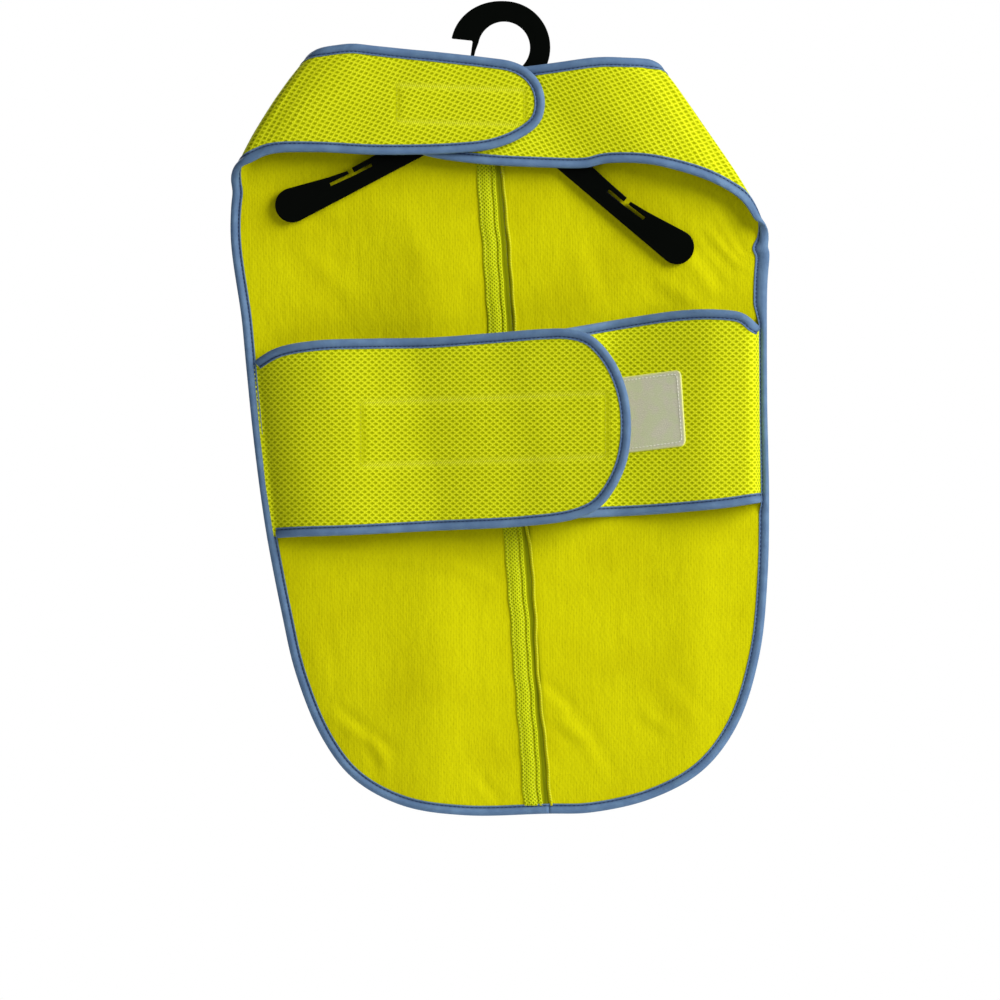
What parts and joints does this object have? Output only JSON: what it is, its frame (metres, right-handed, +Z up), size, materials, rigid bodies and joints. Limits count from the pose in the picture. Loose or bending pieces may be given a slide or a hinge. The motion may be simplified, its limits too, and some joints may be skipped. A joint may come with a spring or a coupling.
{
  "type": "dog cooling vest on a hanger",
  "caption": "Spacer-mesh vest for a dog with bound edges, a hook-and-loop chest closure and belly band, hung flat on a plain moulded hanger.",
  "frame": {"origin": "inside top of the hanger's hook, where the rail bears, in the middle of the hanger's thickness", "axes": "+Z up, -Y out of the side the dog's body lies on (the side that shows), +X to the right seen from there"},
  "size_m": [0.3936, 0.0401, 0.5874],
  "materials": {
    "mesh_cloth": "open spacer mesh outside, close knit inside",
    "binding_tape": "smooth knitted tape, slight sheen",
    "fastener_tape": "brushed loop pile and hook tape",
    "plastic": "black satin moulding"
  },
  "bodies": {
    "root": {"half_left": "mesh_cloth", "half_right": "mesh_cloth", "belly_strap_left": "mesh_cloth", "belly_strap_right": "mesh_cloth", "seam_allowance": "mesh_cloth", "seam_lip": "mesh_cloth", "binding_left": "binding_tape", "binding_right": "binding_tape", "belly_binding_left": "binding_tape", "belly_binding_right": "binding_tape", "chest_hook": "fastener_tape", "chest_loop": "fastener_tape", "belly_hook": "fastener_tape", "belly_loop": "fastener_tape", "hanger": "plastic"}
  },
  "joints": []
}
